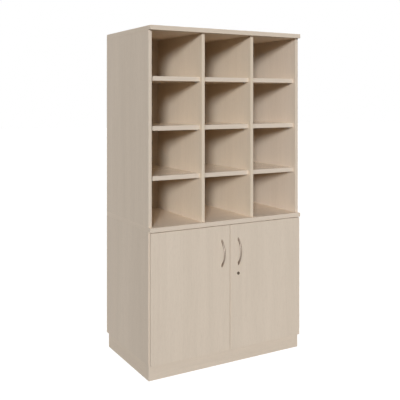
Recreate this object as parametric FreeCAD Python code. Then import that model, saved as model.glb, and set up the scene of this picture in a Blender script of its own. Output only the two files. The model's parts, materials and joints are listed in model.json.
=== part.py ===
import FreeCAD, Part
import math
import os

V = FreeCAD.Vector

# A pigeonhole cabinet: an open upper part of columns and shelves, on a base with two hinged doors.
# Millimetres. X runs across, the front faces -Y, Z is up, and the floor is at Z = 0.

# Carcass
WIDTH = 1000.0
CARCASS_DEPTH = 596.0
PANEL_OVERHANG = 24.0
PANEL_THICK = 25.0
UPRIGHT_THICK = 19.0
BASE_SIDE_HEIGHT = 712.0
UPPER_HEIGHT = 1053.0
COLUMNS = 3
TIERS = 4
EDGE_RADIUS = 1.2

# Shelves and the pins that carry them
SHELF_THICK = 25.0
SHELF_SETBACK = 22.0
SHELF_PLAY = 0.5
BASE_SHELF_SETBACK = 45.0
PIN_RADIUS = 2.5
PIN_PEG = 8.0
PIN_EDGE = 37.0
PIN_TAB_REACH = 10.0
PIN_TAB_WIDTH = 8.0
PIN_TAB_THICK = 6.0
PEG_PLAY = 0.05
HOLE_END_PLAY = 0.5

# Back panels, held in grooves in the sides
BACK_THICK = 8.0
BACK_INSET = 28.0
GROOVE_DEPTH = 8.0
GROOVE_PLAY = 0.2

# Plinth
PLINTH_HEIGHT = 81.0
PLINTH_THICK = 19.0
PLINTH_INSET = 2.0
PLINTH_REAR_INSET = 28.0

# Dowels between the boards
DOWEL_RADIUS = 4.0
DOWEL_IN_FACE = 12.0
DOWEL_IN_END = 18.0
DOWEL_EDGE = 60.0
DOWEL_SHIFT = 50.0

# Doors
DOOR_THICK = 19.0
DOOR_GAP = 2.0
DOOR_SIDE_REVEAL = 4.5
DOOR_CENTRE_GAP = 4.0
DOOR_TOP_GAP = 3.5
DOOR_BOTTOM_GAP = 1.0
BUMPER_RADIUS = 4.0
BUMPER_FROM_CENTRE = 40.0
BUMPER_SPACING = 300.0

# Bow handles and their screws
HANDLE_LENGTH = 157.0
HANDLE_REACH = 33.0
HANDLE_FOOT = 3.0
HANDLE_THICK = 6.5
HANDLE_WIDTH = 8.5
HANDLE_ROUND = 2.4
HANDLE_HOLES = 128.0
HANDLE_FOOT_LENGTH = 21.5
HANDLE_FROM_CENTRE = 55.0
HANDLE_BELOW_TOP = 155.0
SCREW_RADIUS = 2.0
SCREW_HOLE_RADIUS = 2.25
SCREW_IN_HANDLE = 8.0
SCREW_HEAD_RADIUS = 4.0
SCREW_HEAD_HEIGHT = 2.5

# Concealed hinges: the pivot is set in from the door's outer edge and in front of its back face
HINGE_FROM_END = 100.0
PIVOT_IN_FROM_EDGE = 5.0
PIVOT_BEFORE_BACK = 8.0
CUP_RADIUS = 17.5
CUP_DEPTH = 12.5
CUP_FROM_EDGE = 22.5
CUP_WALL = 1.45
CUP_FLOOR = 1.0
FLANGE_THICK = 1.2
FLANGE_START = 3.0
FLANGE_REACH = 17.0
FLANGE_HALF_HEIGHT = 30.0
LINK_PIN_IN = 12.0
LINK_PIN_BACK = 3.0
LINK_PIN_RADIUS = 1.5
LINK_EYE_RADIUS = 2.3
LINK_REACH = 20.0
LINK_THICK = 2.0
LINK_HALF_HEIGHT = 3.0
LINK_HOOK = 4.0
CHEEK_INNER = 5.0
CHEEK_THICK = 2.0
ARM_STRAP = 3.4
ARM_WEB = 1.5
ARM_STANDOFF = 1.3
ARM_END = 62.0
ARM_WEB_START = 6.0
PLATE_START = 25.0
PLATE_THICK = 1.0
PLATE_HALF_HEIGHT = 22.0
PLATE_RIB_PLAY = 0.1

# Rod lock in the right-hand door
LOCK_BELOW_HANDLE = 125.5
LOCK_RIM_RADIUS = 9.0
LOCK_RIM_THICK = 2.0
LOCK_BODY_RADIUS = 8.0
PLUG_RADIUS = 5.0
PLUG_PROUD = 0.5
PLUG_TAIL = 4.0
KEYWAY_WIDTH = 1.6
KEYWAY_HEIGHT = 7.0
KEYWAY_DEPTH = 6.0
CASE_HALF_WIDTH = 18.0
CASE_HALF_HEIGHT = 22.0
CASE_DEPTH = 16.0
CASE_WALL = 1.5
ROD_RADIUS = 3.0
ROD_BEHIND_DOOR = 10.0
ROD_END_GAP = 10.0
GUIDE_HALF_WIDTH = 8.0
GUIDE_DEPTH = 15.0
GUIDE_HEIGHT = 12.0
GUIDE_FROM_HOOK = 25.0
HOOK_FROM_ROD_END = 3.0
HOOK_HEIGHT = 8.0
HOOK_COLLAR_RADIUS = 5.5
HOOK_RADIUS = 16.0
HOOK_BAND = 3.0
HOOK_ARM_WIDTH = 4.0
HOOK_ARM_ANGLE = 205.0
HOOK_BAND_ANGLE = 45.0
KEEPER_RADIUS = 1.75
KEEPER_OFFSET = 9.5
KEEPER_ANGLE = 85.0
KEEPER_PLATE = 2.0
KEEPER_PLATE_HALF = 6.0
KEEPER_PLATE_DEPTH = 24.0
KEEPER_PAST_HOOK = 2.0
FIT_PLAY = 0.05

# Places worked out from the sizes above
HALF_WIDTH = WIDTH / 2
HANDLE_AHEAD = DOOR_GAP + DOOR_THICK + HANDLE_REACH
FRONT = (HANDLE_AHEAD - CARCASS_DEPTH) / 2
REAR = FRONT + CARCASS_DEPTH
BACK_REAR = REAR - BACK_INSET
BACK_FACE = BACK_REAR - BACK_THICK
INNER_HALF = HALF_WIDTH - UPRIGHT_THICK

BASE_FLOOR = PLINTH_HEIGHT + PANEL_THICK
MIDDLE_LOW = PLINTH_HEIGHT + BASE_SIDE_HEIGHT
MIDDLE_HIGH = MIDDLE_LOW + PANEL_THICK
TOP_LOW = MIDDLE_HIGH + UPPER_HEIGHT
HEIGHT = TOP_LOW + PANEL_THICK

COLUMN_CLEAR = (WIDTH - (COLUMNS + 1) * UPRIGHT_THICK) / COLUMNS
TIER_CLEAR = (UPPER_HEIGHT - (TIERS - 1) * SHELF_THICK) / TIERS
BASE_CLEAR = MIDDLE_LOW - BASE_FLOOR
BASE_SHELF_LOW = BASE_FLOOR + (BASE_CLEAR - SHELF_THICK) / 2

DOOR_BACK = FRONT - DOOR_GAP
DOOR_FRONT = DOOR_BACK - DOOR_THICK
DOOR_LOW = PLINTH_HEIGHT + DOOR_BOTTOM_GAP
DOOR_HIGH = MIDDLE_LOW - DOOR_TOP_GAP
DOOR_EDGE = HALF_WIDTH - DOOR_SIDE_REVEAL
HANDLE_Z = DOOR_HIGH - HANDLE_BELOW_TOP
LOCK_Z = HANDLE_Z - LOCK_BELOW_HANDLE
HINGE_HEIGHTS = (DOOR_LOW + HINGE_FROM_END, DOOR_HIGH - HINGE_FROM_END)

LINK_PIN_X = -DOOR_EDGE + PIVOT_IN_FROM_EDGE + LINK_PIN_IN
LINK_PIN_Y = DOOR_BACK - PIVOT_BEFORE_BACK + LINK_PIN_BACK
CUP_X = -DOOR_EDGE + CUP_FROM_EDGE

LOCK_X = HANDLE_FROM_CENTRE
ROD_Y = DOOR_BACK + ROD_BEHIND_DOOR
ROD_LOW = BASE_FLOOR + ROD_END_GAP
ROD_HIGH = MIDDLE_LOW - ROD_END_GAP
HOOK_LOWS = (ROD_LOW + HOOK_FROM_ROD_END, ROD_HIGH - HOOK_FROM_ROD_END - HOOK_HEIGHT)


def save(node, *solids):
    """Write a node's solids, one or several, to its file."""
    shape = solids[0] if len(solids) == 1 else Part.makeCompound(list(solids))
    shape.exportStep(os.path.join("parts", node + ".step"))


def block(x, y, z):
    """A box between three pairs of limits."""
    size = (abs(x[1] - x[0]), abs(y[1] - y[0]), abs(z[1] - z[0]))
    return Part.makeBox(*size, V(min(x), min(y), min(z)))


def eased(board, sides=False):
    """Round the edges of a board's front face, and of its two end faces where those show."""
    box = board.BoundBox

    def shows(edge):
        ends = [vertex.Point for vertex in edge.Vertexes]
        at_front = all(math.isclose(p.y, box.YMin, abs_tol=FIT_PLAY) for p in ends)
        at_left = all(math.isclose(p.x, box.XMin, abs_tol=FIT_PLAY) for p in ends)
        at_right = all(math.isclose(p.x, box.XMax, abs_tol=FIT_PLAY) for p in ends)
        return at_front or (sides and (at_left or at_right))

    return board.makeFillet(EDGE_RADIUS, [edge for edge in board.Edges if shows(edge)])


def drilled(board, holes):
    """A board with a list of holes taken out."""
    return board.cut(Part.makeCompound(holes)) if holes else board


def mirrored(shape):
    """The same shape on the other side of the cabinet."""
    return shape.mirror(V(0, 0, 0), V(1, 0, 0))


def dowels_at(points, into_face):
    """Dowels across a joint: the solids, and the holes that they sit in."""
    solids = []
    holes = []
    for point in points:
        start = point - into_face * DOWEL_IN_END
        solids.append(Part.makeCylinder(DOWEL_RADIUS, DOWEL_IN_END + DOWEL_IN_FACE, start, into_face))
        hole_start = start - into_face * HOLE_END_PLAY
        hole_length = DOWEL_IN_END + DOWEL_IN_FACE + 2 * HOLE_END_PLAY
        holes.append(Part.makeCylinder(DOWEL_RADIUS + PEG_PLAY, hole_length, hole_start, into_face))
    return solids, holes


def upright_left(index):
    """Left face of an upright of the upper part, counted from the left."""
    return -HALF_WIDTH + index * (COLUMN_CLEAR + UPRIGHT_THICK)


def upright_middle(index):
    return upright_left(index) + UPRIGHT_THICK / 2


def shelf_low(tier):
    """Underside of a pigeonhole shelf, counted from the bottom."""
    return MIDDLE_HIGH + tier * TIER_CLEAR + (tier - 1) * SHELF_THICK


def pin_with_hole(wall_x, inward, y, underside):
    """A shelf pin: a peg in the wall and a flat tab under the shelf, with the peg's hole."""
    middle = V(wall_x, y, underside - PIN_TAB_THICK / 2)
    outward = V(-inward, 0, 0)
    peg = Part.makeCylinder(PIN_RADIUS, PIN_PEG, middle, outward)
    tab = block(
        (wall_x, wall_x + inward * PIN_TAB_REACH),
        (y - PIN_TAB_WIDTH / 2, y + PIN_TAB_WIDTH / 2),
        (underside - PIN_TAB_THICK, underside),
    )
    hole = Part.makeCylinder(PIN_RADIUS + PEG_PLAY, PIN_PEG + HOLE_END_PLAY, middle, outward)
    return peg.fuse(tab), hole


def groove(inner_x, outward, z):
    """The groove in a side that takes the back panel's edge."""
    return block(
        (inner_x, inner_x + outward * GROOVE_DEPTH),
        (BACK_FACE - GROOVE_PLAY, BACK_REAR + GROOVE_PLAY),
        z,
    )


def back_panel(z):
    half = INNER_HALF + GROOVE_DEPTH - GROOVE_PLAY
    return block((-half, half), (BACK_FACE, BACK_REAR), z)


def build_upper():
    """Uprights, shelves, shelf pins and back of the pigeonholes."""
    rows = (FRONT + DOWEL_EDGE, BACK_FACE - DOWEL_EDGE)
    middles = [upright_middle(index) for index in range(COLUMNS + 1)]
    top_points = [V(x, y, TOP_LOW) for x in middles for y in rows]
    foot_points = [V(x, y, MIDDLE_HIGH) for x in middles for y in rows]
    top_dowels, top_holes = dowels_at(top_points, V(0, 0, 1))
    foot_dowels, foot_holes = dowels_at(foot_points, V(0, 0, -1))

    pins = []
    pin_holes = [[] for _ in range(COLUMNS + 1)]
    shelf_front = FRONT + SHELF_SETBACK
    shelf_rear = BACK_FACE - SHELF_PLAY
    for column in range(COLUMNS):
        left = upright_left(column) + UPRIGHT_THICK
        right = left + COLUMN_CLEAR
        for tier in range(1, TIERS):
            low = shelf_low(tier)
            shelf = block(
                (left + SHELF_PLAY, right - SHELF_PLAY), (shelf_front, shelf_rear), (low, low + SHELF_THICK)
            )
            save(f"shelf_{column + 1}_{tier}", eased(shelf))
            for wall, (wall_x, inward) in enumerate(((left, 1), (right, -1))):
                for y in (shelf_front + PIN_EDGE, shelf_rear - PIN_EDGE):
                    pin, hole = pin_with_hole(wall_x, inward, y, low)
                    pins.append(pin)
                    pin_holes[column + wall].append(hole)
    save("pigeonhole_shelf_pins", *pins)

    for index in range(COLUMNS + 1):
        left = upright_left(index)
        is_left_side = index == 0
        is_right_side = index == COLUMNS
        rear = REAR if is_left_side or is_right_side else BACK_FACE
        board = eased(block((left, left + UPRIGHT_THICK), (FRONT, rear), (MIDDLE_HIGH, TOP_LOW)))
        cuts = top_holes[2 * index:2 * index + 2] + foot_holes[2 * index:2 * index + 2] + pin_holes[index]
        name = f"upper_divider_{index}"
        if is_left_side:
            cuts.append(groove(-INNER_HALF, -1, (MIDDLE_HIGH, TOP_LOW)))
            name = "upper_side_left"
        if is_right_side:
            cuts.append(groove(INNER_HALF, 1, (MIDDLE_HIGH, TOP_LOW)))
            name = "upper_side_right"
        save(name, drilled(board, cuts))

    save("upper_back", back_panel((MIDDLE_HIGH, TOP_LOW)))
    top = block((-HALF_WIDTH, HALF_WIDTH), (FRONT - PANEL_OVERHANG, REAR), (TOP_LOW, HEIGHT))
    save("upper_top", drilled(eased(top, sides=True), top_holes))
    save("top_dowels", *top_dowels)
    return foot_dowels, foot_holes


def build_base(foot_dowels, foot_holes):
    """Middle panel, sides, bottom, back and shelf of the base."""
    side_middle = HALF_WIDTH - UPRIGHT_THICK / 2
    rows = (FRONT + DOWEL_EDGE + DOWEL_SHIFT, BACK_FACE - DOWEL_EDGE - DOWEL_SHIFT)
    head_points = [V(x, y, MIDDLE_LOW) for x in (-side_middle, side_middle) for y in rows]
    head_dowels, head_holes = dowels_at(head_points, V(0, 0, 1))
    panel = block((-HALF_WIDTH, HALF_WIDTH), (FRONT - PANEL_OVERHANG, REAR), (MIDDLE_LOW, MIDDLE_HIGH))
    save("middle_panel", drilled(eased(panel, sides=True), foot_holes + head_holes))
    save("middle_dowels", *foot_dowels, *head_dowels)

    bottom_z = PLINTH_HEIGHT + PANEL_THICK / 2
    bottom_dowels = []
    bottom_holes = []
    pins = []
    shelf_front = FRONT + BASE_SHELF_SETBACK
    shelf_rear = BACK_FACE - SHELF_PLAY
    for number, (name, outward) in enumerate((("base_side_left", -1), ("base_side_right", 1))):
        inner_x = outward * INNER_HALF
        points = [V(inner_x, y, bottom_z) for y in rows]
        dowels, holes = dowels_at(points, V(outward, 0, 0))
        bottom_dowels += dowels
        bottom_holes += holes
        cuts = holes + head_holes[2 * number:2 * number + 2]
        cuts.append(groove(inner_x, outward, (PLINTH_HEIGHT, MIDDLE_LOW)))
        for y in (shelf_front + PIN_EDGE, shelf_rear - PIN_EDGE):
            pin, hole = pin_with_hole(inner_x, -outward, y, BASE_SHELF_LOW)
            pins.append(pin)
            cuts.append(hole)
        side = block((inner_x, outward * HALF_WIDTH), (FRONT, REAR), (PLINTH_HEIGHT, MIDDLE_LOW))
        save(name, drilled(eased(side), cuts))
    save("bottom_dowels", *bottom_dowels)
    save("base_shelf_pins", *pins)
    save("base_back", back_panel((PLINTH_HEIGHT, MIDDLE_LOW)))
    shelf_half = INNER_HALF - SHELF_PLAY
    shelf_z = (BASE_SHELF_LOW, BASE_SHELF_LOW + SHELF_THICK)
    save("base_shelf", eased(block((-shelf_half, shelf_half), (shelf_front, shelf_rear), shelf_z)))
    return bottom_holes


def build_plinth(bottom_holes):
    """Plinth boards, and the base bottom that stands on them."""
    half = HALF_WIDTH - PLINTH_INSET
    front = FRONT + PLINTH_INSET
    rear = REAR - PLINTH_REAR_INSET
    between = (front + PLINTH_THICK, rear - PLINTH_THICK)
    height = (0, PLINTH_HEIGHT)
    points = []
    for y in (front + PLINTH_THICK / 2, (between[1] + BACK_FACE) / 2):
        points += [V(x, y, PLINTH_HEIGHT) for x in (-half + DOWEL_EDGE, 0, half - DOWEL_EDGE)]
    dowels, holes = dowels_at(points, V(0, 0, 1))
    front_board = eased(block((-half, half), (front, between[0]), height))
    save("plinth_front", drilled(front_board, holes[:3]))
    save("plinth_rear", drilled(block((-half, half), (between[1], rear), height), holes[3:]))
    save("plinth_left", block((-half, -half + PLINTH_THICK), between, height))
    save("plinth_right", block((half - PLINTH_THICK, half), between, height))
    save("plinth_brace", block((-PLINTH_THICK / 2, PLINTH_THICK / 2), between, height))
    save("plinth_dowels", *dowels)
    bottom = block((-INNER_HALF, INNER_HALF), (FRONT, BACK_FACE), (PLINTH_HEIGHT, BASE_FLOOR))
    save("base_bottom", drilled(eased(bottom), holes + bottom_holes))


def along_y(radius, y, x, z):
    """A round bar along Y between two places."""
    return Part.makeCylinder(radius, abs(y[1] - y[0]), V(x, min(y), z), V(0, 1, 0))


def handle_with_screws(x):
    """A bow handle on its two feet, its screws, and the screw holes through the door."""
    half = HANDLE_LENGTH / 2
    inner_half = half - HANDLE_FOOT_LENGTH
    face = DOOR_FRONT
    crest = face - HANDLE_REACH
    left = x - HANDLE_WIDTH / 2
    low, high = HANDLE_Z - half, HANDLE_Z + half
    corners = [V(left, face - HANDLE_FOOT, low), V(left, face, low), V(left, face, HANDLE_Z - inner_half)]
    ends = [V(left, face, HANDLE_Z + inner_half), V(left, face, high), V(left, face - HANDLE_FOOT, high)]
    inner = Part.Arc(corners[-1], V(left, crest + HANDLE_THICK, HANDLE_Z), ends[0]).toShape()
    outer = Part.Arc(ends[-1], V(left, crest, HANDLE_Z), corners[0]).toShape()
    feet = [Part.LineSegment(a, b).toShape() for run in (corners, ends) for a, b in zip(run, run[1:])]
    outline = Part.Wire([feet[0], feet[1], inner, feet[2], feet[3], outer])
    bow = Part.Face(outline).extrude(V(HANDLE_WIDTH, 0, 0))
    bow = bow.makeFillet(HANDLE_ROUND, [edge for edge in bow.Edges if isinstance(edge.Curve, Part.Circle)])

    screws = []
    door_holes = []
    for z in (HANDLE_Z - HANDLE_HOLES / 2, HANDLE_Z + HANDLE_HOLES / 2):
        tip = face - SCREW_IN_HANDLE
        shank = along_y(SCREW_RADIUS, (tip, DOOR_BACK), x, z)
        head = along_y(SCREW_HEAD_RADIUS, (DOOR_BACK, DOOR_BACK + SCREW_HEAD_HEIGHT), x, z)
        screws.append(shank.fuse(head))
        bow = bow.cut(along_y(SCREW_RADIUS + FIT_PLAY, (tip - HOLE_END_PLAY, face), x, z))
        door_holes.append(along_y(SCREW_HOLE_RADIUS, (face, DOOR_BACK), x, z))
    return bow, screws, door_holes


def cup_hole(z):
    return along_y(CUP_RADIUS, (DOOR_BACK - CUP_DEPTH, DOOR_BACK), CUP_X, z)


def hinge_cup(z):
    """A round cup let into the door's back, with a flange on the face."""
    inner_radius = CUP_RADIUS - CUP_WALL
    cup = along_y(CUP_RADIUS - FIT_PLAY, (DOOR_BACK - CUP_DEPTH, DOOR_BACK), CUP_X, z)
    flange = block(
        (CUP_X - FLANGE_START, CUP_X + FLANGE_REACH),
        (DOOR_BACK, DOOR_BACK + FLANGE_THICK),
        (z - FLANGE_HALF_HEIGHT, z + FLANGE_HALF_HEIGHT),
    )
    hollow_y = (DOOR_BACK - CUP_DEPTH + CUP_FLOOR, DOOR_BACK + FLANGE_THICK)
    return cup.fuse(flange).cut(along_y(inner_radius, hollow_y, CUP_X, z))


def on_link_pin(radius, z):
    """A round bar on the axis of the hinge's link pin."""
    return Part.makeCylinder(radius, abs(z[1] - z[0]), V(LINK_PIN_X, LINK_PIN_Y, min(z)))


def hinge_plate(z):
    """The plate on the side's inner face, with the rib that the arm sits on."""
    y = (FRONT + PLATE_START, FRONT + ARM_END)
    rib_half = CHEEK_INNER - PLATE_RIB_PLAY
    rib_top = ARM_STANDOFF + ARM_STRAP - ARM_WEB
    base = block(
        (-INNER_HALF, -INNER_HALF + PLATE_THICK), y, (z - PLATE_HALF_HEIGHT, z + PLATE_HALF_HEIGHT)
    )
    rib = block((-INNER_HALF, -INNER_HALF + rib_top), y, (z - rib_half, z + rib_half))
    return base.fuse(rib)


def hinge_arm(z):
    """A channel arm: two cheeks that end in eyes for the link pin, joined by a web."""
    low = -INNER_HALF + ARM_STANDOFF
    high = low + ARM_STRAP
    outer = CHEEK_INNER + CHEEK_THICK
    arm = block((high - ARM_WEB, high), (FRONT + ARM_WEB_START, FRONT + ARM_END), (z - outer, z + outer))
    for cheek_z in ((z - outer, z - CHEEK_INNER), (z + CHEEK_INNER, z + outer)):
        strap = block((low, high), (LINK_PIN_Y, FRONT + ARM_END), cheek_z)
        arm = arm.fuse([strap, on_link_pin(LINK_EYE_RADIUS, cheek_z)])
    return arm.cut(on_link_pin(LINK_PIN_RADIUS + FIT_PLAY, (z - outer, z + outer)))


def hinge_pin(z):
    outer = CHEEK_INNER + CHEEK_THICK
    return on_link_pin(LINK_PIN_RADIUS, (z - outer, z + outer))


def hinge_link(z):
    """The link from the arm's pin into the cup, with a hook at its end."""
    height = (z - LINK_HALF_HEIGHT, z + LINK_HALF_HEIGHT)
    end = LINK_PIN_X + LINK_REACH
    front = LINK_PIN_Y - LINK_THICK / 2
    strap = block((LINK_PIN_X, end), (front, front + LINK_THICK), height)
    hook = block((end - LINK_THICK, end), (front - LINK_HOOK, front), height)
    link = on_link_pin(LINK_EYE_RADIUS, height).fuse([strap, hook])
    return link.cut(on_link_pin(LINK_PIN_RADIUS + FIT_PLAY, height))


def build_hinges():
    """Two concealed hinges for each door."""
    makers = (
        ("hinge_plates", hinge_plate),
        ("hinge_arms", hinge_arm),
        ("hinge_pins", hinge_pin),
        ("hinge_links", hinge_link),
        ("hinge_cups", hinge_cup),
    )
    for name, make in makers:
        left = [make(z) for z in HINGE_HEIGHTS]
        save(name + "_left", *left)
        save(name + "_right", *[mirrored(piece) for piece in left])


def build_doors():
    """Two doors with their handles, screws and bumpers."""
    for name, side in (("left", -1), ("right", 1)):
        x = side * HANDLE_FROM_CENTRE
        bow, screws, holes = handle_with_screws(x)
        save("handle_" + name, bow)
        save("handle_screws_" + name, *screws)
        cups = [cup_hole(z) for z in HINGE_HEIGHTS]
        holes += cups if side < 0 else [mirrored(cup) for cup in cups]
        if side > 0:
            holes.append(along_y(LOCK_BODY_RADIUS + FIT_PLAY, (DOOR_FRONT, DOOR_BACK), LOCK_X, LOCK_Z))
        across = (side * DOOR_CENTRE_GAP / 2, side * DOOR_EDGE)
        door = eased(block(across, (DOOR_FRONT, DOOR_BACK), (DOOR_LOW, DOOR_HIGH)), sides=True)
        save("door_" + name, drilled(door, holes))
        bumper_z = PLINTH_HEIGHT + PANEL_THICK / 2
        places = (BUMPER_FROM_CENTRE, BUMPER_FROM_CENTRE + BUMPER_SPACING)
        bumpers = [along_y(BUMPER_RADIUS, (DOOR_BACK, FRONT), side * place, bumper_z) for place in places]
        save("door_bumpers_" + name, *bumpers)


def on_rod(radius, z):
    """A round bar on the axis of the lock rod."""
    return Part.makeCylinder(radius, abs(z[1] - z[0]), V(LOCK_X, ROD_Y, min(z)))


def rod_hook(low):
    """A claw on the rod: a collar, an arm, and a band that turns in behind the keeper's post."""
    z = (low, low + HOOK_HEIGHT)
    axis = V(LOCK_X, ROD_Y, low)
    half = HOOK_ARM_WIDTH / 2
    arm = block((LOCK_X, LOCK_X + HOOK_RADIUS - HOOK_BAND / 2), (ROD_Y - half, ROD_Y + half), z)
    arm.rotate(axis, V(0, 0, 1), HOOK_ARM_ANGLE)
    band = Part.makeCylinder(HOOK_RADIUS, HOOK_HEIGHT, axis, V(0, 0, 1), HOOK_BAND_ANGLE)
    band = band.cut(on_rod(HOOK_RADIUS - HOOK_BAND, z))
    band.rotate(axis, V(0, 0, 1), HOOK_ARM_ANGLE - HOOK_BAND_ANGLE)
    claw = on_rod(HOOK_COLLAR_RADIUS, z).fuse([arm, band])
    return claw.cut(on_rod(ROD_RADIUS + FIT_PLAY, z))


def rod_keeper(hook_low, seat):
    """A plate on the carcass with a post that the claw turns in behind."""
    angle = math.radians(KEEPER_ANGLE)
    x = LOCK_X + KEEPER_OFFSET * math.cos(angle)
    y = ROD_Y + KEEPER_OFFSET * math.sin(angle)
    upward = seat < hook_low
    plate_z = (seat, seat + KEEPER_PLATE) if upward else (seat - KEEPER_PLATE, seat)
    post_end = hook_low + HOOK_HEIGHT + KEEPER_PAST_HOOK if upward else hook_low - KEEPER_PAST_HOOK
    post_z = (plate_z[1], post_end) if upward else (post_end, plate_z[0])
    plate = block(
        (x - KEEPER_PLATE_HALF, x + KEEPER_PLATE_HALF),
        (y - KEEPER_PLATE_HALF, y - KEEPER_PLATE_HALF + KEEPER_PLATE_DEPTH),
        plate_z,
    )
    post = Part.makeCylinder(KEEPER_RADIUS, post_z[1] - post_z[0], V(x, y, post_z[0]))
    return plate.fuse(post)


def build_lock():
    """The cylinder and plug in the door, and the case, rod, hooks, guides and keepers behind it."""
    rim = along_y(LOCK_RIM_RADIUS, (DOOR_FRONT - LOCK_RIM_THICK, DOOR_FRONT), LOCK_X, LOCK_Z)
    body = along_y(LOCK_BODY_RADIUS, (DOOR_FRONT, DOOR_BACK), LOCK_X, LOCK_Z)
    bore = along_y(PLUG_RADIUS + FIT_PLAY, (DOOR_FRONT - LOCK_RIM_THICK, DOOR_BACK), LOCK_X, LOCK_Z)
    save("lock_cylinder", rim.fuse(body).cut(bore))

    plug_front = DOOR_FRONT - LOCK_RIM_THICK - PLUG_PROUD
    plug = along_y(PLUG_RADIUS, (plug_front, DOOR_BACK + PLUG_TAIL), LOCK_X, LOCK_Z)
    keyway = block(
        (LOCK_X - KEYWAY_WIDTH / 2, LOCK_X + KEYWAY_WIDTH / 2),
        (plug_front, plug_front + KEYWAY_DEPTH),
        (LOCK_Z - KEYWAY_HEIGHT / 2, LOCK_Z + KEYWAY_HEIGHT / 2),
    )
    save("lock_plug", plug.cut(keyway))

    x = (LOCK_X - CASE_HALF_WIDTH, LOCK_X + CASE_HALF_WIDTH)
    z = (LOCK_Z - CASE_HALF_HEIGHT, LOCK_Z + CASE_HALF_HEIGHT)
    case = block(x, (DOOR_BACK, DOOR_BACK + CASE_DEPTH), z)
    hollow = block(
        (x[0] + CASE_WALL, x[1] - CASE_WALL),
        (DOOR_BACK, DOOR_BACK + CASE_DEPTH - CASE_WALL),
        (z[0] + CASE_WALL, z[1] - CASE_WALL),
    )
    save("lock_case", case.cut([hollow, on_rod(ROD_RADIUS + FIT_PLAY, z)]))

    save("lock_rod", on_rod(ROD_RADIUS, (ROD_LOW, ROD_HIGH)))
    save("rod_hooks", *[rod_hook(low) for low in HOOK_LOWS])

    guides = []
    guide_lows = (HOOK_LOWS[0] + GUIDE_FROM_HOOK, HOOK_LOWS[1] - GUIDE_FROM_HOOK)
    for low in guide_lows:
        guide_z = (low, low + GUIDE_HEIGHT)
        guide_x = (LOCK_X - GUIDE_HALF_WIDTH, LOCK_X + GUIDE_HALF_WIDTH)
        guide = block(guide_x, (DOOR_BACK, DOOR_BACK + GUIDE_DEPTH), guide_z)
        guides.append(guide.cut(on_rod(ROD_RADIUS + FIT_PLAY, guide_z)))
    save("rod_guides", *guides)
    save("rod_keepers", rod_keeper(HOOK_LOWS[0], BASE_FLOOR), rod_keeper(HOOK_LOWS[1], MIDDLE_LOW))


os.makedirs("parts", exist_ok=True)
build_plinth(build_base(*build_upper()))
build_doors()
build_hinges()
build_lock()
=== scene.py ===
import json
import math

import bmesh
import bpy
from mathutils import Matrix, Vector


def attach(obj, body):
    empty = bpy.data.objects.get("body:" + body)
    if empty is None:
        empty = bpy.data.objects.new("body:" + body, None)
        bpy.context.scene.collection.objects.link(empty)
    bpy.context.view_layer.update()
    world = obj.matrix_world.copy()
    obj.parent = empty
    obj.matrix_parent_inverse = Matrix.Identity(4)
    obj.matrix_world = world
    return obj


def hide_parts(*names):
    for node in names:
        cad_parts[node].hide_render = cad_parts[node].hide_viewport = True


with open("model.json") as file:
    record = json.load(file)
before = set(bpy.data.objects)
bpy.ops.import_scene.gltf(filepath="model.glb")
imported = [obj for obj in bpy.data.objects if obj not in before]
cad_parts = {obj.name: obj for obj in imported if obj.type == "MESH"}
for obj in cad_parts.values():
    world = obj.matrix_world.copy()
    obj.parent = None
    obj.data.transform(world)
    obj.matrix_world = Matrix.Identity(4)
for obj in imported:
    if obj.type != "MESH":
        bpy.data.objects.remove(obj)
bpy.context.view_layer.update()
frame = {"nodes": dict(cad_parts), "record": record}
NODES = frame["nodes"]

# Camera: level, where the photograph was taken from, turned towards the cabinet's left-hand corner
CAMERA_PLACE = (-1.9816, -3.4102, 1.4960)
CAMERA_YAW = math.radians(29.782)
PHOTO_WIDTH = 400
FOCAL_PIXELS = 650.99
HORIZON_PIXEL = 100.3
SENSOR = 36.0

# Light: a nearly parallel key from the front left, a soft light above it, a light behind, and a fill
SUNS = (
    ("key", Vector((0.675, 1.0, -0.285)), 2.86, math.radians(11.0)),
    ("upper_left", Vector((0.60, 0.70, -0.75)), 0.46, math.radians(70.0)),
    ("behind", Vector((-0.80, -0.75, -0.45)), 2.6, math.radians(40.0)),
)
SUN_COLOUR = (0.885, 0.932, 1.0)
FILL_COLOUR = (1.0, 0.76, 0.52, 1.0)
FILL_STRENGTH = 0.03
WHITE = (1.0, 1.0, 1.0, 1.0)
FLOOR_SIZE = 60.0
FLOOR_COLOUR = (0.24, 0.215, 0.19, 1.0)
FLOOR_LIFT = 0.95

# Finishes, in linear colour: the lighter and darker grain, and the flecks
MAPLE = ((0.768, 0.638, 0.500, 1.0), (0.711, 0.587, 0.455, 1.0), (0.575, 0.45, 0.335, 1.0))
BEECH = ((0.72, 0.53, 0.36, 1.0), (0.62, 0.44, 0.29, 1.0), (0.45, 0.29, 0.18, 1.0))
# Roughness and specular level of the boards' two surfaces
MATTE = (0.47, 0.13)
SMOOTH = (0.26, 0.6)
# Boards whose red, green and blue differ a little from the rest; the inner boards' paler, warmer tone is
# painted light, standing in for the brighter bounce light inside the cells
INNER_PAINTED_LIGHT = (1.03, 1.025, 0.99)
PLINTH_SIDE_TONE = (0.965, 0.96, 0.95)
SHELF_TONE = (0.96, 0.96, 0.96)
# Painted light: how much paler the level faces of boards that lie flat are painted, which stands in for
# the brighter light on the floors of the cells
PANEL_PAINTED_LIGHT = 1.13
DECK_PAINTED_LIGHT = 1.20
SHELF_PAINTED_LIGHT = 1.22
HANDLE_COLOUR = (0.29, 0.235, 0.19)
LOCK_COLOUR = (0.13, 0.097, 0.07)
ZINC_COLOUR = (0.58, 0.58, 0.59)
BUMPER_COLOUR = (0.72, 0.71, 0.68)

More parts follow.
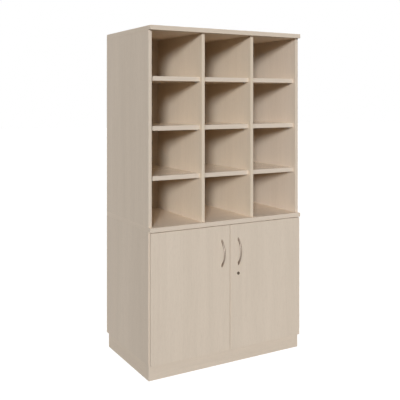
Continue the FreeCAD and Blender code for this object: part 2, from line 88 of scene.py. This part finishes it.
# Grain: each board's own shift of the pattern, its stretch, and the fineness of figure, lines and flecks
GRAIN_SHIFT = (3.1, 5.3, 7.7)
GRAIN_STRETCH = 0.055
FIGURE_SCALE = 9.0
LINE_SCALE = 95.0
FLECK_SCALE = 700.0
FLECK_SHARE = 0.42
BOARD_SPREAD = 0.015
GLOSS_SPREAD = 0.05
# A face points along an axis where its normal's share of that axis is above this
FACING_SHARE = 0.7
# Across a board's ends the grain pattern follows this axis instead
END_GRAIN = {"X": "Y", "Y": "Z", "Z": "X"}

# Brushed metal: the stretch and fineness of its lines, and its clouds
BRUSH_STRETCH = 0.04
BRUSH_SCALE = 2500.0
CLOUD_SCALE = 60.0
BRUSH_SPREAD = 0.06

# Ironmongery, in metres: the places that the CAD model gives them
HINGE_HEIGHTS = (0.182, 0.6895)
PLATE_FACE = 0.480
PLATE_SCREW_Y = -0.2275
PLATE_SCREW_OFFSET = 0.016
ARM_FACE = 0.4763
ARM_SCREW_YS = (-0.243, -0.222)
FLANGE_SCREW_X = 0.467
FLANGE_FACE = -0.2718
FLANGE_SCREW_OFFSET = 0.024
LOCK_X = 0.055
LOCK_Z = 0.509
LOCK_BORE = 0.00505
LOCK_BODY = 0.0080
LOCK_RIM = 0.0090
CASE_FACE = -0.257
CASE_SCREW_OFFSETS = (0.013, 0.017)
GUIDE_FACE = -0.258
GUIDE_HEIGHTS = (0.150, 0.753)
GUIDE_SCREW_OFFSET = 0.0055
KEEPER_SCREW = (0.0558, -0.241)
KEEPER_FACES = ((0.108, 1), (0.791, -1))
DOOR_BACK = -0.273
DOOR_FRONT = -0.292
BACKWARD = (0, 1, 0)
FORWARD = (0, -1, 0)
HANDLE_X = 0.055
HANDLE_SCREW_HEIGHTS = (0.5705, 0.6985)
HANDLE_SCREW_TIP = -0.300
HANDLE_Z = 0.6345
# The bow's outer and inner arcs: half their chord, their ends' and their crest's reach from the door
HANDLE_OUTER = (0.0785, 0.003, 0.033)
HANDLE_INNER = (0.0570, 0.000, 0.0265)
HANDLE_HALF_WIDTH = 0.00425
HANDLE_TAPER = 0.12
HANDLE_STATIONS = 49
ROUND_SIDES = 24

# Screw heads: radius and height, in metres
HINGE_HEAD = (0.0034, 0.0012)
ARM_HEAD = (0.0036, 0.0010)
KEEPER_HEAD = (0.0026, 0.0011)
CASE_HEAD = (0.0024, 0.0010)
GUIDE_HEAD = (0.0017, 0.0007)
HANDLE_HEAD = (0.004, 0.0025)
HANDLE_SHANK = 0.002
# A head's outline and its cross recess, as shares of its radius and height
HEAD_PROFILE = ((1.0, 0.0), (0.99, 0.35), (0.90, 0.74), (0.72, 0.95), (0.62, 1.0))
RECESS_NARROW = 0.12
RECESS_WIDE = 0.50
RECESS_TAPER = 0.75
RECESS_FLOOR = 0.35


def node(tree, kind, inputs=None, **settings):
    """A shader node with its settings, its plain input values and its links."""
    made = tree.nodes.new("ShaderNode" + kind)
    for key, value in settings.items():
        setattr(made, key, value)
    for key, value in (inputs or {}).items():
        if isinstance(value, bpy.types.NodeSocket):
            tree.links.new(value, made.inputs[key])
        else:
            made.inputs[key].default_value = value
    return made


def new_material(name):
    """A material with its node tree and its main shader."""
    material = bpy.data.materials.new(name)
    material.use_nodes = True
    tree = material.node_tree
    return material, tree, tree.nodes["Principled BSDF"]


def math_node(tree, operation, first, second=0.0, third=0.0):
    """The result of one sum on two or three values."""
    made = node(tree, "Math", {0: first, 1: second, 2: third}, operation=operation)
    return made.outputs[0]


def blend(tree, factor, first, second):
    """A mix of two colours; the mix node keeps its colour sockets at 6, 7 and, for the result, 2."""
    made = node(tree, "Mix", {"Factor": factor, 6: first, 7: second}, data_type="RGBA")
    return made.outputs[2]


def spread(tree, value, low, high, to_low=0.0, to_high=1.0):
    """Stretch one range of values onto another."""
    inputs = {"Value": value, "From Min": low, "From Max": high, "To Min": to_low, "To Max": to_high}
    return node(tree, "MapRange", inputs).outputs[0]


def noise(tree, vector, scale, detail=3.0, roughness=0.55, distortion=0.0):
    """Soft noise from 0 to 1."""
    inputs = {
        "Vector": vector,
        "Scale": scale,
        "Detail": detail,
        "Roughness": roughness,
        "Distortion": distortion,
    }
    return node(tree, "TexNoise", inputs).outputs["Fac"]


def drawn_out(tree, vector, axis, amount):
    """Coordinates in which a pattern is drawn out along one axis."""
    scale = [1.0, 1.0, 1.0]
    scale["XYZ".index(axis)] = amount
    return node(tree, "VectorMath", {0: vector, 1: scale}, operation="MULTIPLY").outputs[0]


def points_along(tree, share):
    """1 on faces that point one way or the other along an axis, 0 elsewhere."""
    return math_node(tree, "GREATER_THAN", math_node(tree, "ABSOLUTE", share), FACING_SHARE)


def toned(tones, factors):
    """The same finish with each of red, green and blue made lighter or darker."""
    return tuple(tuple(a * b for a, b in zip(tone, factors)) + (1.0,) for tone in tones)


def board(name, grain, tones, roughness, sheen, level_face_painted_light=1.0):
    """Wood-effect board with a quiet grain along one axis; its level faces may be painted paler than its
    edges, a painted brightening that stands in for the light on the cells' floors.
    """
    light, dark, fleck = tones
    material, tree, surface = new_material(name)
    coordinates = node(tree, "TexCoord")
    own = node(tree, "ObjectInfo").outputs["Random"]
    place = node(
        tree,
        "VectorMath",
        {0: own, 1: GRAIN_SHIFT, 2: coordinates.outputs["Object"]},
        operation="MULTIPLY_ADD",
    ).outputs[0]
    facing = node(tree, "SeparateXYZ", {0: coordinates.outputs["Normal"]})
    at_end = points_along(tree, facing.outputs[grain])
    at_flat = points_along(tree, facing.outputs["Z"])
    lengthwise = drawn_out(tree, place, grain, GRAIN_STRETCH)
    across_end = drawn_out(tree, place, END_GRAIN[grain], GRAIN_STRETCH)
    along = node(
        tree, "Mix", {"Factor": at_end, 4: lengthwise, 5: across_end}, data_type="VECTOR"
    ).outputs[1]
    figure = noise(tree, along, FIGURE_SCALE, 2.0, 0.5, 0.8)
    lines = noise(tree, along, LINE_SCALE, 4.0, 0.6, 0.4)
    flecks = noise(tree, along, FLECK_SCALE, 2.0, 0.5)
    mixed = math_node(tree, "MULTIPLY_ADD", lines, 0.45, math_node(tree, "MULTIPLY", figure, 0.55))
    wood = blend(tree, spread(tree, mixed, 0.33, 0.67), dark, light)
    flecked = blend(tree, spread(tree, flecks, 0.56, 0.74, 0.0, FLECK_SHARE), wood, fleck)
    tone = spread(tree, own, 0.0, 1.0, 1 - BOARD_SPREAD, 1 + BOARD_SPREAD)
    # Painted light: level faces are made paler, standing in for the brighter light that the cells' floors
    # catch
    tone = math_node(tree, "MULTIPLY", tone, spread(tree, at_flat, 0.0, 1.0, 1.0, level_face_painted_light))
    colour = node(tree, "VectorMath", {0: flecked, "Scale": tone}, operation="SCALE").outputs[0]
    tree.links.new(colour, surface.inputs["Base Color"])
    gloss = spread(tree, lines, 0.0, 1.0, roughness - GLOSS_SPREAD, roughness + GLOSS_SPREAD)
    tree.links.new(gloss, surface.inputs["Roughness"])
    surface.inputs["Specular IOR Level"].default_value = sheen
    pores = node(tree, "Bump", {"Height": flecks, "Strength": 0.06, "Distance": 0.0002})
    tree.links.new(pores.outputs[0], surface.inputs["Normal"])
    return material


def brushed(name, colour, roughness, metallic):
    """Metal, bare or lacquered, with fine brushing from top to bottom."""
    material, tree, surface = new_material(name)
    place = node(tree, "TexCoord").outputs["Object"]
    brushing = noise(tree, drawn_out(tree, place, "Z", BRUSH_STRETCH), BRUSH_SCALE)
    cloud = noise(tree, place, CLOUD_SCALE, 2.0)
    tone = spread(tree, cloud, 0.0, 1.0, 0.90, 1.08)
    tinted = node(tree, "VectorMath", {0: colour, "Scale": tone}, operation="SCALE").outputs[0]
    tree.links.new(tinted, surface.inputs["Base Color"])
    gloss = spread(tree, brushing, 0.0, 1.0, roughness - BRUSH_SPREAD, roughness + BRUSH_SPREAD)
    tree.links.new(gloss, surface.inputs["Roughness"])
    surface.inputs["Metallic"].default_value = metallic
    lines = node(tree, "Bump", {"Height": brushing, "Strength": 0.05, "Distance": 0.00005})
    tree.links.new(lines.outputs[0], surface.inputs["Normal"])
    return material


def soft_plastic(name, colour):
    """Pale silicone with a faintly clouded surface."""
    material, tree, surface = new_material(name)
    place = node(tree, "TexCoord").outputs["Object"]
    tone = spread(tree, noise(tree, place, 400.0, 2.0), 0.0, 1.0, 0.93, 1.05)
    tinted = node(tree, "VectorMath", {0: colour, "Scale": tone}, operation="SCALE").outputs[0]
    tree.links.new(tinted, surface.inputs["Base Color"])
    surface.inputs["Roughness"].default_value = 0.45
    return material


UPRIGHT = board("maple_upright", "Z", MAPLE, *MATTE)
# Painted light: the inner boards are made paler and warmer to stand in for the brighter bounce light
# inside the cells
INNER = board("maple_inner", "Z", toned(MAPLE, INNER_PAINTED_LIGHT), *MATTE)
PLINTH_SIDE = board("maple_plinth_side", "Y", toned(MAPLE, PLINTH_SIDE_TONE), *MATTE)
PANEL = board("maple_panel", "X", MAPLE, *MATTE, PANEL_PAINTED_LIGHT)
DECK = board("maple_deck", "X", MAPLE, *MATTE, DECK_PAINTED_LIGHT)
SHELF = board("maple_shelf", "X", toned(MAPLE, SHELF_TONE), *SMOOTH, SHELF_PAINTED_LIGHT)
FINISHES = {
    "handle_metal": brushed("handle_dark_nickel", HANDLE_COLOUR, 0.45, 1.0),
    "lock_metal": brushed("lock_dark", LOCK_COLOUR, 0.45, 0.85),
    "zinc_steel": brushed("zinc_steel", ZINC_COLOUR, 0.36, 1.0),
    "bumper": soft_plastic("bumper_silicone", BUMPER_COLOUR),
    "dowel": board("dowel_beech", "Z", BEECH, 0.55, 0.3),
}


def board_finish(name):
    """The finish of a board, with its grain along the board's length."""
    if name.startswith(("shelf_", "base_shelf")):
        return SHELF
    if name.startswith(("upper_divider", "upper_back")):
        return INNER
    if name in ("plinth_left", "plinth_right", "plinth_brace"):
        return PLINTH_SIDE
    if name == "middle_panel":
        return DECK
    if name.startswith(("upper_top", "base_bottom", "plinth_")):
        return PANEL
    return UPRIGHT


def dress_nodes():
    """A finish on every carried-over node, from its slot in the record."""
    slots = {entry["node"]: entry["material_slot"] for entry in frame["record"]["subparts"]}
    for name, piece in NODES.items():
        finish = FINISHES.get(slots[name], board_finish(name))
        piece.data.materials.clear()
        piece.data.materials.append(finish)


def add_piece(name, mesh, body, slot):
    """A new piece from a mesh, in the finish of its slot, that moves with a body."""
    bmesh.ops.recalc_face_normals(mesh, faces=mesh.faces)
    data = bpy.data.meshes.new(name)
    mesh.to_mesh(data)
    mesh.free()
    data.materials.append(FINISHES[slot])
    piece = bpy.data.objects.new(name, data)
    bpy.context.scene.collection.objects.link(piece)
    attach(piece, body)
    return piece


def ring(mesh, move, radius, height):
    """A ring of points about the local Z axis."""
    points = []
    for step in range(ROUND_SIDES):
        turn = 2 * math.pi * step / ROUND_SIDES
        point = Vector((radius * math.cos(turn), radius * math.sin(turn), height))
        points.append(mesh.verts.new(move @ point))
    return points


def band(mesh, low, high):
    """Smooth faces between two loops of the same number of points."""
    for step in range(len(low)):
        after = (step + 1) % len(low)
        face = mesh.faces.new((low[step], low[after], high[after], high[step]))
        face.smooth = True


def lathe(mesh, move, profile, closed):
    """Turn a profile of radius and height pairs about the local Z axis."""
    rings = [ring(mesh, move, radius, height) for radius, height in profile]
    for low, high in zip(rings, rings[1:]):
        band(mesh, low, high)
    if closed:
        band(mesh, rings[-1], rings[0])
    return rings


def standing(place, outward):
    """The move that stands a turned piece on a place, along a direction."""
    turn = Vector((0, 0, 1)).rotation_difference(Vector(outward))
    return Matrix.Translation(place) @ turn.to_matrix().to_4x4()


def pan_head(mesh, place, outward, radius, height):
    """A pan-head screw with a cross recess, standing on a surface; returns its lowest ring."""
    move = standing(place, outward)
    rings = lathe(mesh, move, [(radius * reach, height * rise) for reach, rise in HEAD_PROFILE], False)
    narrow, wide = RECESS_NARROW * radius, RECESS_WIDE * radius
    corner = ((narrow, wide), (narrow, narrow), (wide, narrow))
    cross = []
    for quarter in range(4):
        turn = Matrix.Rotation(-quarter * math.pi / 2, 2)
        cross += [turn @ Vector(point) for point in corner]
    mouth = [mesh.verts.new(move @ Vector((x, y, height))) for x, y in cross]
    depth = RECESS_FLOOR * height
    floor = [mesh.verts.new(move @ Vector((RECESS_TAPER * x, RECESS_TAPER * y, depth))) for x, y in cross]
    for step in range(len(cross)):
        after = (step + 1) % len(cross)
        mesh.faces.new((mouth[step], mouth[after], floor[after], floor[step]))
    mesh.faces.new(floor)
    edges = []
    for loop in (rings[-1], mouth):
        for step, point in enumerate(loop):
            edges.append(mesh.edges.get((point, loop[(step + 1) % len(loop)])))
    bmesh.ops.triangle_fill(mesh, edges=edges, use_beauty=True)
    return rings[0]


def add_screws():
    """The screws of the hinges, the lock case, the rod guides and the keepers."""
    carcass = bmesh.new()
    doors = {-1: bmesh.new(), 1: bmesh.new()}
    for side in (-1, 1):
        inward = (-side, 0, 0)
        for height in HINGE_HEIGHTS:
            for up in (-1, 1):
                plate = (side * PLATE_FACE, PLATE_SCREW_Y, height + up * PLATE_SCREW_OFFSET)
                pan_head(carcass, plate, inward, *HINGE_HEAD)
                flange = (side * FLANGE_SCREW_X, FLANGE_FACE, height + up * FLANGE_SCREW_OFFSET)
                pan_head(doors[side], flange, BACKWARD, *HINGE_HEAD)
            for y in ARM_SCREW_YS:
                pan_head(carcass, (side * ARM_FACE, y, height), inward, *ARM_HEAD)
    for height, outward in KEEPER_FACES:
        pan_head(carcass, (*KEEPER_SCREW, height), (0, 0, outward), *KEEPER_HEAD)
    beside, above = CASE_SCREW_OFFSETS
    for across in (-1, 1):
        for up in (-1, 1):
            corner = (LOCK_X + across * beside, CASE_FACE, LOCK_Z + up * above)
            pan_head(doors[1], corner, BACKWARD, *CASE_HEAD)
        for height in GUIDE_HEIGHTS:
            place = (LOCK_X + across * GUIDE_SCREW_OFFSET, GUIDE_FACE, height)
            pan_head(doors[1], place, BACKWARD, *GUIDE_HEAD)
    add_piece("carcass_screws", carcass, "carcass", "zinc_steel")
    add_piece("door_left_screws", doors[-1], "door_left", "zinc_steel")
    add_piece("door_right_screws", doors[1], "door_right", "zinc_steel")


def add_handle_screws():
    """The handles' screws, with domed cross-recess heads behind the doors."""
    for name, side in (("left", -1), ("right", 1)):
        mesh = bmesh.new()
        for height in HANDLE_SCREW_HEIGHTS:
            place = (side * HANDLE_X, DOOR_BACK, height)
            move = standing(place, BACKWARD)
            foot = pan_head(mesh, place, BACKWARD, *HANDLE_HEAD)
            shank = ring(mesh, move, HANDLE_SHANK, 0.0)
            tip = ring(mesh, move, HANDLE_SHANK, HANDLE_SCREW_TIP - DOOR_BACK)
            band(mesh, shank, foot)
            band(mesh, tip, shank)
            mesh.faces.new(tip)
        piece = add_piece("handle_screws_domed_" + name, mesh, "door_" + name, "zinc_steel")
        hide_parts("handle_screws_" + name)


def on_arc(arc, along):
    """A point on one of the bow's arcs: reach from the door and height, with along from -1 to 1."""
    half, ends, crest = arc
    rise = crest - ends
    radius = (half * half + rise * rise) / (2 * rise)
    turn = along * math.asin(half / radius)
    return Vector((crest - radius * (1 - math.cos(turn)), radius * math.sin(turn)))


def add_handles():
    """The bow handles, with an oval section that flows into the two feet."""
    for name, side in (("left", -1), ("right", 1)):
        mesh = bmesh.new()
        loops = []
        for station in range(HANDLE_STATIONS):
            along = 2 * station / (HANDLE_STATIONS - 1) - 1
            outer, inner = on_arc(HANDLE_OUTER, along), on_arc(HANDLE_INNER, along)
            middle, half = (outer + inner) / 2, (outer - inner) / 2
            wide = HANDLE_HALF_WIDTH * (1 - HANDLE_TAPER * along ** 4)
            loop = []
            for step in range(ROUND_SIDES):
                turn = 2 * math.pi * step / ROUND_SIDES
                across = math.cos(turn) * wide
                reach, height = middle + half * math.sin(turn)
                place = (side * HANDLE_X + across, DOOR_FRONT - reach, HANDLE_Z + height)
                loop.append(mesh.verts.new(place))
            loops.append(loop)
        for end in (0, -1):
            foot = [mesh.verts.new((point.co.x, DOOR_FRONT, point.co.z)) for point in loops[end]]
            loops.insert(0 if end == 0 else len(loops), foot)
            mesh.faces.new(foot)
        for low, high in zip(loops, loops[1:]):
            band(mesh, low, high)
        piece = add_piece("handle_bow_" + name, mesh, "door_" + name, "handle_metal")
        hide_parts("handle_" + name)


def add_lock_cylinder():
    """The lock's cylinder, with a rounded rim that dips towards the plug."""
    mesh = bmesh.new()
    inside = DOOR_FRONT - DOOR_BACK
    profile = (
        (LOCK_BORE, 0.0020),
        (0.0056, 0.0020),
        (0.0062, 0.0015),
        (0.0076, 0.0016),
        (0.0084, 0.0019),
        (0.0088, 0.0017),
        (LOCK_RIM, 0.0012),
        (LOCK_RIM, 0.0),
        (LOCK_BODY, 0.0),
        (LOCK_BODY, inside),
        (LOCK_BORE, inside),
    )
    lathe(mesh, standing((LOCK_X, DOOR_FRONT, LOCK_Z), FORWARD), profile, True)
    piece = add_piece("lock_cylinder_rounded", mesh, "door_right", "lock_metal")
    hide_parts("lock_cylinder")


def white_to_camera(tree, seen, lit):
    """Show one shader to the camera and to reflections, and another to all other light."""
    path = node(tree, "LightPath")
    either = math_node(tree, "MAXIMUM", path.outputs["Is Camera Ray"], path.outputs["Is Glossy Ray"])
    either = math_node(tree, "MAXIMUM", either, path.outputs["Is Transmission Ray"])
    return node(tree, "MixShader", {0: either, 1: lit, 2: seen}).outputs[0]


def make_floor():
    """A plain floor, pale to the camera, that keeps the cabinet's shadow."""
    half = FLOOR_SIZE / 2
    mesh = bpy.data.meshes.new("floor")
    corners = [(-half, -half, 0), (half, -half, 0), (half, half, 0), (-half, half, 0)]
    mesh.from_pydata(corners, [], [(0, 1, 2, 3)])
    floor = bpy.data.objects.new("floor", mesh)
    bpy.context.scene.collection.objects.link(floor)
    material = bpy.data.materials.new("pale_floor")
    material.use_nodes = True
    tree = material.node_tree
    tree.nodes.clear()
    lit = node(tree, "BsdfDiffuse", {"Color": FLOOR_COLOUR}).outputs[0]
    lift = node(tree, "Emission", {"Color": WHITE, "Strength": FLOOR_LIFT}).outputs[0]
    seen = node(tree, "AddShader", {0: lit, 1: lift}).outputs[0]
    node(tree, "OutputMaterial", {"Surface": white_to_camera(tree, seen, lit)})
    mesh.materials.append(material)


def make_light():
    """The three lamps and the even, slightly warm fill."""
    for name, travel, strength, angle in SUNS:
        light = bpy.data.lights.new(name, "SUN")
        light.energy = strength
        light.color = SUN_COLOUR
        light.angle = angle
        lamp = bpy.data.objects.new(name, light)
        lamp.rotation_euler = travel.to_track_quat("-Z", "Y").to_euler()
        bpy.context.scene.collection.objects.link(lamp)
    world = bpy.data.worlds.new("studio")
    world.use_nodes = True
    tree = world.node_tree
    tree.nodes.clear()
    fill = node(tree, "Background", {"Color": FILL_COLOUR, "Strength": FILL_STRENGTH}).outputs[0]
    seen = node(tree, "Background", {"Color": WHITE, "Strength": 1.0}).outputs[0]
    node(tree, "OutputWorld", {"Surface": white_to_camera(tree, seen, fill)})
    bpy.context.scene.world = world


def make_camera():
    """The camera at the photograph's viewing angle."""
    data = bpy.data.cameras.new("camera")
    data.sensor_width = SENSOR
    data.lens = SENSOR * FOCAL_PIXELS / PHOTO_WIDTH
    data.shift_y = (HORIZON_PIXEL - PHOTO_WIDTH / 2) / PHOTO_WIDTH
    camera = bpy.data.objects.new("camera", data)
    camera.location = CAMERA_PLACE
    camera.rotation_euler = (math.pi / 2, 0.0, -CAMERA_YAW)
    bpy.context.scene.collection.objects.link(camera)
    bpy.context.scene.camera = camera


dress_nodes()
add_screws()
add_handle_screws()
add_handles()
add_lock_cylinder()
make_floor()
make_light()
make_camera()
bpy.context.scene.view_settings.view_transform = "Standard"
